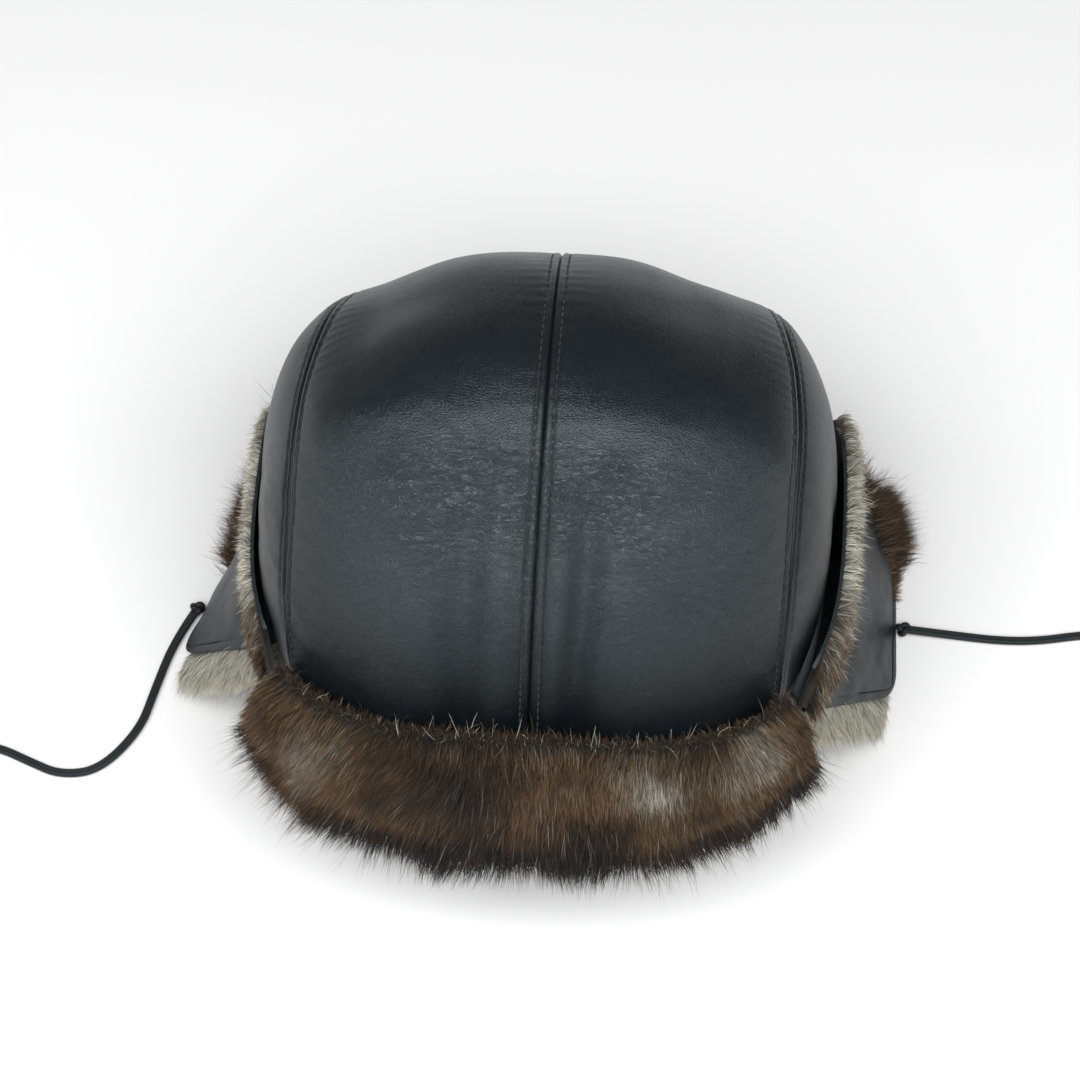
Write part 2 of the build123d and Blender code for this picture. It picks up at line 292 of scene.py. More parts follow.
def crease_front(shader):
    """Fine short creases over the front of the crown, where the soft leather is gathered."""
    y = shader.add("ShaderNodeSeparateXYZ", {"Vector": shader.place}).outputs["Y"]
    inputs = {"Value": y, "From Min": CENTRE[1] * MM - 0.006, "From Max": CENTRE[1] * MM - 0.030}
    front = shader.add("ShaderNodeMapRange", inputs).outputs["Result"]
    patches = shader.ramp(shader.noise(24, 3), [(0.3, 0.6), (0.7, 1.0)])
    strength = shader.maths("MULTIPLY", front, patches)
    inputs = {"Vector": shader.place, "Scale": (0.55, 1.0, 1.25)}
    stretched = shader.add("ShaderNodeMapping", inputs).outputs["Vector"]
    for size, depth in ((2.6, 0.19), (1.3, 0.08)):
        lines = shader.noise(size, 5, 0.6, stretched, 1.3)
        shader.bump(shader.ramp(lines, [(0.40, 1.0), (0.5, 0.0), (0.60, 1.0)]), depth, strength)


def fade_low(shader, shine):
    """Less shine low on the crown, where the visor shades it."""
    z = shader.add("ShaderNodeSeparateXYZ", {"Vector": shader.place}).outputs["Z"]
    limits = {"From Min": WAIST * MM + 0.024, "From Max": WAIST * MM + 0.074}
    inputs = {"Value": z, **limits, "To Min": 0.05, "To Max": shine}
    shader.feed("Specular IOR Level", shader.add("ShaderNodeMapRange", inputs).outputs["Result"])


def leather_material(name, dark, pale, gloss, grain=1.0, wrinkle=0.35, creased=False, shine=0.35):
    """Smooth nappa: shallow cells of grain, fine creases, and slight changes of colour and gloss."""
    shader = Shader(name, Specular_IOR_Level=shine, Specular_Tint=(0.80, 0.95, 1.0, 1.0))
    patches = shader.noise(28, 3)
    pores = shader.cells(grain)
    tone = shader.mix(shader.ramp(patches, [(0.25, 0.0), (0.75, 1.0)]), dark, pale)
    in_pores = shader.ramp(pores, [(0.0, 0.55), (0.12, 1.0)])
    shader.feed("Base Color", shader.mix(1.0, tone, in_pores, "MULTIPLY"))
    shader.feed("Roughness", shader.ramp(shader.noise(11, 5), [(0.3, gloss - 0.02), (0.7, gloss + 0.03)]))
    shader.bump(shader.ramp(pores, [(0.0, 0.0), (0.18, 1.0)]), 0.05)
    creases = shader.ramp(shader.noise(5, 8, 0.62, distortion=0.6), [(0.44, 1.0), (0.5, 0.0), (0.56, 1.0)])
    shader.bump(creases, 0.03, 0.4)
    shader.bump(shader.noise(9, 3), wrinkle, 0.3)
    if creased:
        crease_front(shader)
        fade_low(shader, shine)
    return shader.material


def fur_material():
    """Hair colours, read from each hair's place in the chart: root, middle and tip, dark to pale."""
    shader = Shader("fur", Roughness=0.58, Specular_IOR_Level=0.28, Sheen_Weight=0.12, Sheen_Roughness=0.4)
    chart = shader.add("ShaderNodeUVMap", uv_map=FUR_UV).outputs["UV"]
    split = shader.add("ShaderNodeSeparateXYZ", {"Vector": chart})
    along, shade = split.outputs["X"], split.outputs["Y"]
    root = shader.ramp(
        shade,
        [
            (0.0, (0.006, 0.005, 0.005)),
            (0.3, (0.016, 0.012, 0.010)),
            (0.55, (0.046, 0.041, 0.036)),
            (0.70, (0.14, 0.145, 0.135)),
            (1.0, (0.42, 0.415, 0.37)),
        ],
    )
    middle = shader.ramp(
        shade,
        [
            (0.0, (0.008, 0.006, 0.005)),
            (0.25, (0.024, 0.014, 0.008)),
            (0.5, (0.080, 0.052, 0.028)),
            (0.68, (0.20, 0.185, 0.15)),
            (1.0, (0.66, 0.65, 0.56)),
        ],
    )
    tip = shader.ramp(
        shade,
        [
            (0.0, (0.005, 0.004, 0.004)),
            (0.25, (0.040, 0.021, 0.010)),
            (0.5, (0.17, 0.086, 0.034)),
            (0.68, (0.27, 0.235, 0.18)),
            (1.0, (0.84, 0.81, 0.70)),
        ],
    )
    lower = shader.mix(shader.ramp(along, [(0.1, 0.0), (0.5, 1.0)]), root, middle)
    shader.feed("Base Color", shader.mix(shader.ramp(along, [(0.5, 0.0), (0.95, 1.0)]), lower, tip))
    return shader.material


def cloth_material(name, dark, pale, thread, roughness=0.8):
    """Woven cloth or tape: crossing threads of this size in millimetres."""
    shader = Shader(name, Roughness=roughness, Sheen_Weight=0.15)
    rows = []
    for direction in ("X", "Y"):
        inputs = {"Vector": shader.place, "Scale": 1 / (thread * MM) / 3.14, "Distortion": 0.4}
        wave = shader.add("ShaderNodeTexWave", inputs, bands_direction=direction)
        rows.append(wave.outputs["Fac"])
    weave = shader.maths("MULTIPLY", rows[0], rows[1])
    shader.feed("Base Color", shader.mix(shader.noise(6, 5), dark, pale))
    shader.bump(weave, thread * 0.3)
    return shader.material


def satin_material(name, dark, pale):
    shader = Shader(name, Roughness=0.34, Sheen_Weight=0.3)
    shader.feed("Base Color", shader.mix(shader.noise(14, 3), dark, pale))
    inputs = {"Vector": shader.place, "Scale": 1 / (0.3 * MM) / 3.14}
    shader.bump(shader.add("ShaderNodeTexWave", inputs).outputs["Fac"], 0.03)
    return shader.material


side_leather = leather_material(
    "side_leather", (0.0060, 0.0085, 0.0110), (0.0120, 0.0155, 0.0190), 0.36, shine=0.26
)
crown_leather = leather_material(
    "crown_leather", (0.0060, 0.0085, 0.0110), (0.0100, 0.0135, 0.0165), 0.33, creased=True, shine=0.85
)
flap_leather = leather_material(
    "flap_leather", (0.010, 0.0125, 0.015), (0.020, 0.0235, 0.027), 0.38, 0.8, 0.25
)
cord_leather = leather_material(
    "cord_leather", (0.008, 0.008, 0.009), (0.018, 0.018, 0.019), 0.42, 0.5, 0.1
)
band_leather = leather_material(
    "band_leather", (0.022, 0.018, 0.015), (0.040, 0.033, 0.027), 0.5, 0.9, 0.15
)
thread_material = cloth_material("thread", (0.0025, 0.003, 0.004), (0.006, 0.007, 0.009), 0.25, 0.7)
tape_material = cloth_material("tape", (0.020, 0.020, 0.024), (0.045, 0.045, 0.050), 0.6)
wadding_material = cloth_material("wadding", (0.48, 0.47, 0.44), (0.72, 0.71, 0.66), 2.5, 0.95)
label_material = cloth_material("label", (0.45, 0.44, 0.40), (0.62, 0.60, 0.55), 0.4)
lining_material = satin_material("lining", (0.012, 0.012, 0.016), (0.028, 0.028, 0.034))
fur = fur_material()

# ---- crown: the superellipse's profile, measured along its arc from the centre seam ----
turns = np.linspace(math.pi / 2, 0, 4001)
profile_x = HALF_WIDTH * np.cos(turns) ** (2 / SQUARENESS)
profile_r = HALF_LENGTH * np.sin(turns) ** (2 / SQUARENESS)
profile_x[0] = 0.0
profile_r[-1] = 0.0
profile_arc = np.concatenate(
    ([0], np.cumsum(np.hypot(np.diff(profile_x), np.diff(profile_r))))
)

SEAM_DRAW_IN = 12.0  # how much nearer the side seams come at the back
GROOVE_DEPTH = 1.0
GROOVE_WIDTH = 0.55
STITCH_OFFSET = 3.2  # from a seam to each of its two rows of stitches
PUCKER_LENGTH = 6.5


def seam_arc(angle):
    """How far a side seam lies from the centre seam, by the angle up from the hat's front."""
    x = SEAM_X - SEAM_DRAW_IN * smooth(0.45, 1, angle / math.pi)
    return np.interp(x, profile_x, profile_arc)


def crown_base(arc, angle):
    """Points of the plain crown and their normals."""
    x = np.sign(arc) * np.interp(np.abs(arc), profile_arc, profile_x)
    r = np.interp(np.abs(arc), profile_arc, profile_r)
    points = np.stack((x, -r * np.cos(angle), r * np.sin(angle)), -1)
    slope_x, slope_r = slope(x, HALF_WIDTH), slope(r, HALF_LENGTH)
    normals = np.stack((slope_x, -slope_r * np.cos(angle), slope_r * np.sin(angle)), -1)
    return points + CENTRE + (0, 0, WAIST), unit(normals)


PADDING = 1.6  # how far the wadding pushes the panels out in front, and lets them sink on top
RIDGE = 1.5  # beside the centre seam, low on the front
BULGE = 2.0  # past the valley beside that ridge
PUCKER = 0.16
STITCH_DIMPLE = 0.45


def crown_relief(arc, angle, points):
    """How far the leather stands out from the plain crown, in millimetres."""
    reach = np.abs(arc)
    right = arc > 0
    to_side = reach - seam_arc(angle)

    # the panels' padding, and the crown's uneven sag between its shoulders
    top = smooth(1.3, 2.1, angle)
    puff = np.sin(math.pi * np.clip(reach / seam_arc(angle), 0, 1)) ** 0.8
    sag = np.where(arc < 0, 5.0 * bell(reach - 66, 32), 4.2 * bell(reach - 50, 22))
    shoulder = 3.0 * smooth(66, 92, reach)
    height = PADDING * (1 - top) * puff - top * (PADDING + sag - shoulder)
    height = height + 0.5 * waves(points, 34, 11) + 0.10 * waves(points, 10, 12)

    # low on the front: a ridge, a valley and a broad bulge to each side of the centre seam
    low_front = smooth(-0.35, 0.25, angle) * (1 - smooth(0.75, 1.45, angle))
    valley = np.where(right, 15 + 3 * smooth(0.2, 1.2, angle), 24.0)
    valley_depth = np.where(right, 3.2, 2.1)
    valley_width = np.where(right, 5.5, 6.5)
    height = height + RIDGE * low_front * bell(reach - valley / 2, 6.0)
    height = height - valley_depth * low_front * bell(reach - valley, valley_width)
    height = height + BULGE * low_front * bell(reach - valley - 20, 13.0)
    height = height - 0.8 * low_front * bell(reach, 4)

    # puckers, the groove and the rows of stitches along each seam
    around = angle * HALF_LENGTH
    for distance, seed in ((reach, 21), (np.abs(to_side), 22)):
        phase = 2 * math.pi * around / PUCKER_LENGTH + 2.5 * waves(points, 18, seed)
        fade = np.exp(-distance / 7) * (1 - bell(distance, 1.8))
        height = height + PUCKER * np.sin(phase) * fade
        height = height - GROOVE_DEPTH * bell(distance, GROOVE_WIDTH)
        height = height - STITCH_DIMPLE * bell(distance - STITCH_OFFSET, 0.8)
        height = height + 0.18 * bell(distance - 1.9, 0.8)

    # fine lumps in front
    front = 1 - smooth(1.2, 1.9, angle)
    height = height + 0.11 * front * waves(points, 4.5, 31) * (0.6 + 0.4 * waves(points, 40, 32))
    return height


def crown_surface(arc, angle):
    points, normals = crown_base(arc, angle)
    return points + normals * crown_relief(arc, angle, points)[..., None], normals


def rim_angle(arc):
    """The angle, below the waist, at which a line round the crown reaches the rim."""
    r = np.interp(np.abs(arc), profile_arc, profile_r)
    return -np.arcsin(np.clip((WAIST - RIM) / r, 0, 1))


def spread_from_edges(count, near, width):
    """Shares from 0 to 1 over a width in millimetres, close together beside both edges."""
    even = np.linspace(0, 1, count)
    edge = np.concatenate(([0.0], np.cumsum(np.full(near, 0.3)) / width))
    shares = np.concatenate((edge, even[(even > edge[-1]) & (even < 1 - edge[-1])], 1 - edge))
    return np.sort(shares)


def centre_panel(side):
    """One of the two panels between the centre seam and a side seam."""
    across = spread_from_edges(84, 18, 105.0)[None, :]
    up = np.linspace(0, 1, 236)[:, None]
    angle = np.full_like(up * across, math.pi / 2)
    for _ in range(4):  # the seam's place and the rim's angle depend on each other
        arc = side * across * seam_arc(angle)
        start = rim_angle(arc)
        angle = start + up * (math.pi - 2 * start)
    points, _ = crown_surface(arc, angle)
    return points


def side_panel(side):
    """The panel between a side seam and the rim, ruled in the plane seen from the side."""
    columns, rows = 190, 72
    start = math.asin((WAIST - RIM) / np.interp(SEAM_X, profile_x, profile_r))
    seam_angle = np.linspace(-start, math.pi + start, columns)
    seam_r = np.interp(seam_arc(seam_angle), profile_arc, profile_r)
    top = np.stack((-seam_r * np.cos(seam_angle), seam_r * np.sin(seam_angle)), -1)
    top[:, 1] = np.maximum(top[:, 1], RIM - WAIST)
    low_y = np.linspace(top[0, 0], top[-1, 0], columns)
    bottom = np.stack((low_y, np.full(columns, RIM - WAIST)), -1)
    down = np.concatenate((np.arange(12) * 0.006, np.linspace(0.072, 1, rows - 12)))
    plan = top[None] + (bottom - top)[None] * down[:, None, None]
    r = np.hypot(plan[..., 0], plan[..., 1])
    arc = side * np.interp(-r, -profile_r, profile_arc)
    angle = np.arctan2(plan[..., 1], -plan[..., 0])
    angle = np.where(angle < -math.pi / 2, angle + 2 * math.pi, angle)
    points, _ = crown_surface(arc, angle)
    return points


for place, side in SIDES.items():
    for part, grid, material in (
        ("centre", centre_panel(side), crown_leather),
        ("side", side_panel(side), side_leather),
    ):
        flip = (side > 0) == (part == "side")
        panel = thick_sheet(f"crown_{place}_{part}", grid, material, LEATHER, flip)
        attach(panel, "crown", "crown_leather", f"crown_panel_{place}_{part}")


# ---- crown layers under the leather ----
def under_leather(arc, angle, depth):
    """Points at a depth below the leather, which follow its hollows but only part of its humps."""
    points, normals = crown_base(arc, angle)
    height = crown_relief(arc, angle, points)
    height = np.where(height > 0, height * 0.3, height)
    return points + normals * (height - depth)[..., None], normals


def crown_layer(name, arcs, depth, thickness, material, node, slot, quilt=0.0):
    """A layer of the crown between two distances from the centre seam, measured over the top."""
    columns, rows = 60, 150
    arc = np.linspace(*arcs, columns)[None, :]
    start = rim_angle(arc) + 0.004
    angle = start + np.linspace(0, 1, rows)[:, None] * (math.pi - 2 * start)
    arc = arc + 0 * angle
    points, normals = under_leather(arc, angle, depth)
    if quilt:
        row, column = angle * HALF_LENGTH / QUILT_PITCH, arc / QUILT_PITCH
        diamonds = np.abs(np.sin(math.pi * (row + column)) * np.sin(math.pi * (row - column)))
        points = points - normals * (quilt * diamonds**0.4)[..., None]
    return attach(thick_sheet(name, points, material, thickness), "crown", slot, node)


QUILT_PITCH = 17.0
SIDE_ARC = profile_arc[-1] - 0.3
INNER_ARC = np.interp(SEAM_X / 2, profile_x, profile_arc)
LAYER_ARCS = {
    "left": (-SIDE_ARC, -INNER_ARC),
    "centre": (-INNER_ARC, INNER_ARC),
    "right": (INNER_ARC, SIDE_ARC),
}
for place, arcs in LAYER_ARCS.items():
    crown_layer(
        f"crown_wadding_soft_{place}", arcs, 2.2, 5.0, wadding_material,
        f"crown_wadding_{place}", "wadding",
    )
    lining = crown_layer(
        f"crown_lining_quilted_{place}", arcs, 7.6, 0.9, lining_material,
        f"crown_lining_{place}", "lining", quilt=1.6,
    )

TAPE_REACH = 7.0  # to each side of its seam
for seam, side in {"centre": 0, **SIDES}.items():
    angle = np.linspace(-0.26, math.pi + 0.26, 260)[:, None]
    across = np.linspace(-TAPE_REACH, TAPE_REACH, 15)[None, :]
    arc = side * seam_arc(angle) + across
    limit = rim_angle(arc) + 0.01
    angle = np.clip(angle, limit, math.pi - limit)
    points, _ = under_leather(arc, angle, 1.35)
    tape = thick_sheet(f"seam_tape_strip_{seam}", points, tape_material, 0.4)
    attach(tape, "crown", "tape", f"seam_tape_{seam}")

# ---- stitches ----
STITCH_LENGTH = 3.0
STITCH_PITCH = 3.7
THREAD = 0.6


def stitches(name, line, normals):
    """A row of sunken thread stitches along a line of points on a surface."""
    steps = np.linalg.norm(np.diff(line, axis=0), axis=1)
    along = np.concatenate(([0], np.cumsum(steps)))
    middles = np.arange(STITCH_PITCH, along[-1] - STITCH_PITCH, STITCH_PITCH)
    rings, sides = 7, 6
    share = np.linspace(-1, 1, rings)
    wanted = middles[:, None] + share * STITCH_LENGTH / 2
    centres = np.stack([np.interp(wanted, along, column) for column in line.T], -1)
    up = unit(np.stack([np.interp(wanted, along, column) for column in normals.T], -1))
    centres += up * (0.30 * (1 - share**4) - 0.18)[None, :, None]
    forward = unit(np.gradient(centres, axis=1))
    across = unit(np.cross(forward, up))
    turn = circle(sides)[:, None]
    radius = THREAD / 2 * (1 - 0.55 * share**6)
    ring = across[:, :, None] * np.cos(turn) + up[:, :, None] * np.sin(turn)
    points = centres[:, :, None] + ring * radius[None, :, None, None]
    first = (np.arange(len(middles)) * rings * sides)[:, None, None]
    quads = (first + grid_faces(rings, sides, closed=True)).reshape(-1, 4)
    caps = (first + tube_caps(rings, sides)).reshape(-1, sides)
    piece = build_mesh(name, points.reshape(-1, 3), [quads, caps], thread_material)
    attach(piece, "crown", "crown_leather")


def seam_row(offset, side):
    """A line of points beside the centre seam, or beside a side seam where side is 1 or -1."""
    angle = np.linspace(-0.24, math.pi + 0.24, 700)
    arc = np.full_like(angle, offset) if side == 0 else side * (seam_arc(angle) + offset)
    keep = (angle > rim_angle(arc) + 0.02) & (angle < math.pi - rim_angle(arc) - 0.02)
    return crown_surface(arc[keep], angle[keep])


for seam, side in {"centre": 0, **SIDES}.items():
    for row, offset in (("inner", -STITCH_OFFSET), ("outer", STITCH_OFFSET)):
        stitches(f"stitches_{seam}_{row}", *seam_row(offset, side))

# ---- walls round the crown: the visor and the cuffs, as in the CAD model ----
def wall(angle, z, low, high, bottom, top):
    """Points of a wall round the crown at heights z and angles in degrees from the X axis.

    low and high are how far the wall stands from the crown's waist, as (sideways, lengthways),
    at the heights bottom and top.
    """
    rise = (z - bottom) / (top - bottom)
    out_x = low[0] + (high[0] - low[0]) * rise
    out_y = low[1] + (high[1] - low[1]) * rise
    turn = np.radians(angle)
    across = np.abs(np.cos(turn)) / (HALF_WIDTH + out_x)
    along = np.abs(np.sin(turn)) / (HALF_LENGTH + out_y)
    reach = (across**SQUARENESS + along**SQUARENESS) ** (-1 / SQUARENESS)
    return np.stack((reach * np.cos(turn), reach * np.sin(turn), z), -1) + CENTRE


def upright_wall(angle, z, out):
    """A wall that stands equally far from the crown's waist all over."""
    angle, z = np.broadcast_arrays(angle, z)
    return wall(angle, z, (out, out), (out, out), 0.0, 1.0)


def away_from_crown(points):
    """Level unit vectors that point away from the crown."""
    x, y = (points - CENTRE)[..., 0], (points - CENTRE)[..., 1]
    return unit(np.stack((slope(x, HALF_WIDTH), slope(y, HALF_LENGTH), np.zeros_like(x)), -1))


# ---- fur: hairs over a dense pile ----
HAIR_STEPS = np.array([0.0, 0.3, 0.65, 1.0])
HAIR_TAPER = np.array([1.0, 0.9, 0.6])
HAIR_SPREAD = 0.2
HAIR_POINTS = 7  # three pairs and a tip
UP = np.array([0.0, 0.0, 1.0])
TABLE_GAP = 0.3
HAIR_PAST = 11.0  # how far hairs may reach past the CAD model's box
HAIR_LOW = np.array(cad_low) / MM - HAIR_PAST
HAIR_HIGH = np.array(cad_high) / MM + HAIR_PAST


def scatter(grid, count, rng):
    """Random places on a grid of points, evenly by area, and how far down and across each lies."""
    area = np.cross(grid[1:, 1:] - grid[:-1, :-1], grid[1:, :-1] - grid[:-1, 1:])
    area = np.linalg.norm(area, axis=-1).ravel()
    row, column = np.divmod(rng.choice(area.size, count, p=area / area.sum()), grid.shape[1] - 1)
    down, across = rng.random((2, count))
    shares = (row + down) / (grid.shape[0] - 1), (column + across) / (grid.shape[1] - 1)
    down, across = down[:, None], across[:, None]
    near = grid[row, column] * (1 - across) + grid[row, column + 1] * across
    far = grid[row + 1, column] * (1 - across) + grid[row + 1, column + 1] * across
    return near * (1 - down) + far * down, *shares


class Fur:
    """One furry piece, gathered from its pile and its hairs."""

    def __init__(self, seed):
        self.rng = np.random.default_rng(seed)
        self.points, self.quads, self.triangles, self.uv = [], [], [], []
        self.count = 0

    def add(self, points, quads, triangles, along, shade):
        self.quads.append(quads + self.count)
        self.triangles.append(triangles + self.count)
        self.points.append(points)
        self.uv.append(np.clip(np.stack((along, shade), -1), 0.02, 0.98))
        self.count += len(points)

    def pile(self, outer, inner, shade):
        """The dense pile between two grids, closed all round."""
        rows, columns = outer.shape[:2]
        points = np.concatenate((outer.reshape(-1, 3), inner.reshape(-1, 3)))
        size = rows * columns
        face = grid_faces(rows, columns)
        rim = np.concatenate(
            (
                np.arange(columns),
                np.arange(2, rows + 1) * columns - 1,
                np.arange(size - 2, size - columns - 1, -1),
                np.arange(rows - 2, 0, -1) * columns,
            )
        )
        after = np.roll(rim, -1)
        edge = np.stack((rim, after, after + size, rim + size), -1)
        quads = np.concatenate((face, face[:, ::-1] + size, edge[:, ::-1]))
        shades = np.concatenate((shade.ravel(), shade.ravel()))
        along = np.full(len(points), 0.3)
        self.add(points, quads, np.empty((0, 3), int), along, shades)

    def hairs(self, roots, outward, start, end, length, width, shade, clump=0, pull=0.5):
        """Tapered hairs that leave their roots along start and come round to end.

        With a clump, each hair is pulled towards one in that many of the others.
        """
        rng = self.rng
        count = len(roots)
        steps = HAIR_STEPS[:, None]
        start = unit(start + rng.normal(0, HAIR_SPREAD, start.shape))[:, None]
        end = unit(end + rng.normal(0, HAIR_SPREAD * 1.2, end.shape))[:, None]
        curve = start * steps + (end - start) * steps**2 / 2
        lines = roots[:, None] + curve * length[:, None, None]
        if clump:
            leaders = rng.choice(count, max(1, count // clump), replace=False)
            tree = KDTree(len(leaders))
            for place, leader in enumerate(leaders):
                tree.insert(roots[leader], place)
            tree.balance()
            nearest = leaders[[tree.find(root)[1] for root in roots]]
            lines = lines + (lines[nearest] - lines) * (pull * steps**1.5)
        grown = lines[:, -1] - roots
        room = np.where(grown > 0, HAIR_HIGH - roots, roots - HAIR_LOW)
        fits = np.min(room / np.maximum(np.abs(grown), 1e-6), axis=1)
        lines = roots[:, None] + (lines - roots[:, None]) * np.clip(fits, 0.1, 1)[:, None, None]
        lines[..., 2] = np.maximum(lines[..., 2], TABLE_GAP)
        forward = unit(lines[:, -1] - lines[:, 0])
        across = unit(np.cross(forward, outward))
        turn = rng.uniform(-0.9, 0.9, count)[:, None]
        across = across * np.cos(turn) + np.cross(across, forward) * np.sin(turn)
        half = (width / 2 * HAIR_TAPER)[:, None] * across[:, None]
        sides = np.stack((lines[:, :3] - half, lines[:, :3] + half), 2).reshape(count, 6, 3)
        points = np.concatenate((sides, lines[:, 3:]), 1).reshape(-1, 3)
        first = np.arange(count)[:, None, None] * HAIR_POINTS
        quads = (first + np.array([[0, 1, 3, 2], [2, 3, 5, 4]])).reshape(-1, 4)
        triangles = (first + np.array([[4, 5, 6]])).reshape(-1, 3)
        along = np.tile(np.append(np.repeat(HAIR_STEPS[:3], 2), 1.0), count)
        self.add(points, quads, triangles, along, np.repeat(shade, HAIR_POINTS))

    def guard_shades(self, count, pale_share, pale, dark, spread):
        """Shades of guard hairs, some of them pale and the others dark."""
        chosen = self.rng.random(count) < pale_share
        return np.where(chosen, pale, dark) + self.rng.normal(0, spread, count)

    def build(self, name, body, node):
        """The finished piece, riding on a body in the place of a CAD node."""
        faces = [np.concatenate(self.quads), np.concatenate(self.triangles)]
        piece = build_mesh(name, np.concatenate(self.points), faces, fur, np.concatenate(self.uv))
        attach(piece, body, "fur_brown", node)


# ---- visor fur ----
VISOR_PARTS = {"left": (218.0, 252.0), "centre": (252.0, 288.0), "right": (288.0, 322.0)}
VISOR_ENDS = (VISOR_PARTS["left"][0], VISOR_PARTS["right"][1])
VISOR_BOTTOM = RIM - 8
VISOR_TOP = RIM + 47
VISOR_PELT = 4.05  # from the crown's waist to the pelt
VISOR_ARCH = 232.4  # radius of its top edge


def visor_top(angle):
    x = np.cos(np.radians(angle)) * 112
    return VISOR_TOP - VISOR_ARCH + np.sqrt(VISOR_ARCH**2 - x**2)


def visor_grid(ends, thickness):
    """Points of the visor at a share of its pile's thickness."""
    angle, height = np.meshgrid(np.linspace(*ends, 60), np.linspace(0, 1, 40))
    low = np.array((10.0, 23.0)) * thickness + VISOR_PELT
    high = np.array((7.0, 12.0)) * thickness + VISOR_PELT
    z = VISOR_BOTTOM + 1 + (visor_top(angle) - 2 - VISOR_BOTTOM) * height
    return wall(angle, z, low, high, VISOR_BOTTOM, VISOR_TOP)


def visor_shade(points, height, rng):
    """Mixed browns, paler at the left end, darker in the middle, with a grey patch on the right.

    Low down, an orange-brown band crosses both ends, and the lowest hairs are dark.
    """
    x = (points - CENTRE)[:, 0]
    patches = waves(points, 24, 51)
    streaks = waves(points * (1, 1, 0.45), 6, 52)
    shade = 0.29 + 0.12 * patches + 0.05 * streaks + 0.20 * bell(x + 88, 36)
    shade = shade - 0.14 * bell(x - 4, 38) * (1 - smooth(0.55, 0.85, height))
    shade = shade + 0.68 * bell(x - 50, 26) * bell(height - 0.74, 0.30) * (1 + 0.4 * patches)
    band = bell(height - 0.34 - 0.04 * patches, 0.10)
    shade = shade + (0.52 - shade) * 0.75 * band * smooth(25, 60, np.abs(x))
    shade = shade - 0.30 * (1 - smooth(0.10, 0.30, height))
    return shade + rng.normal(0, 0.08, len(points))


# along the visor's top edge: how many hairs, their greatest length, width and range of shades
EDGE_HAIRS = [(2600, 6.5, 0.4, 0.12, 0.42), (80, 18.0, 0.15, 0.5, 1.0)]


def grow_visor(place, ends, seed):
    piece = Fur(seed)
    rng = piece.rng
    inner = visor_grid(ends, 0.0)
    height = np.linspace(0, 1, inner.shape[0])[:, None] + 0 * inner[..., 0]
    bump = (0.68 + 0.06 * waves(inner, 14, 53)) * (1 - smooth(0.80, 1.0, height) * 0.85)
    outer = inner + (visor_grid(ends, 1.0) - inner) * bump[..., None]
    piece.pile(outer, inner, np.full(inner.shape[:2], 0.16) + 0.06 * waves(inner, 9, 54))

    def lay(count, reach, width, clump=0):
        """Hairs over the pile: the coat where they clump, and else guard hairs."""
        roots, height, _ = scatter(outer, count, rng)
        away = away_from_crown(roots)
        aside = (roots - CENTRE)[:, 0] / 100
        sideways = aside[:, None] * np.array([1.0, 0, 0])
        drift = 0.35 * waves(roots, 22, 55)[:, None] * np.cross(away, UP)
        lift = (0.65 * smooth(0.3, 0.95, height) - 0.25)[:, None]
        start = away * 0.85 + UP * lift + drift
        end = away * 0.75 - UP * 0.6 + sideways * 0.3 + drift - np.array([0.14, 0, 0])
        roots = roots - away * 1.5
        length = reach * rng.uniform(0.7, 1.2, count) * (1 - 0.25 * aside**2)
        length = length * (1.06 - 0.14 * np.clip(aside, -0.6, 0.6))
        length = length * (1 + 0.6 * (1 - smooth(0.0, 0.3, height)))
        shade = visor_shade(roots, height, rng)
        if not clump:
            shade = piece.guard_shades(count, 0.12, 0.65, 0.06, 0.06)
        piece.hairs(roots, away, start, end, length, width, shade, clump, 0.55)

    lay(17000, 11.5, 0.42, 14)
    lay(7000, 14.0, 0.28, 7)
    lay(1300, 18.0, 0.18)

    edge = np.linspace(*ends, 400)
    top = upright_wall(edge, visor_top(edge) - 1.5, 4.5)
    for count, longest, width, darkest, palest in EDGE_HAIRS:
        roots = top[rng.integers(0, len(top), count)] + rng.normal(0, 0.9, (count, 3))
        away = away_from_crown(roots)
        start = UP * 0.8 + away * rng.normal(0.1, 0.5, (count, 1))
        end = UP * 0.45 - away * rng.normal(0.3, 0.6, (count, 1)) + rng.normal(0, 0.4, roots.shape)
        length = longest * rng.uniform(0.3, 1, count) ** 1.5
        shade = rng.uniform(darkest, palest, count)
        piece.hairs(roots, away, start, end, length, width, shade)
    piece.build(f"visor_fur_{place}", "visor", "visor_fur")


def visor_wall(name, node, inner, outer, drop, material, slot):
    """The leather or the stiffener behind the visor's fur, a little lower than the fur's edge."""
    ends = np.linspace(VISOR_ENDS[0] + 0.3, VISOR_ENDS[1] - 0.3, 120)
    angle, height = np.meshgrid(ends, np.linspace(0, 1, 30))
    z = VISOR_BOTTOM + 1.5 + (visor_top(angle) - drop - VISOR_BOTTOM - 1.5) * height
    points = upright_wall(angle, z, outer)
    points = points + away_from_crown(points) * (0.25 * waves(points, 18, 56) - 0.1)[..., None]
    attach(thick_sheet(name, points, material, outer - inner), "visor", slot, node)


visor_wall("visor_leather", "visor_backing", 1.7, 2.7, 1.5, flap_leather, "flap_leather")
visor_wall("visor_core", "visor_stiffener", 2.9, 3.8, 3.0, tape_material, "tape")
for seed, (place, ends) in enumerate(VISOR_PARTS.items()):
    grow_visor(place, ends, 300 + seed)

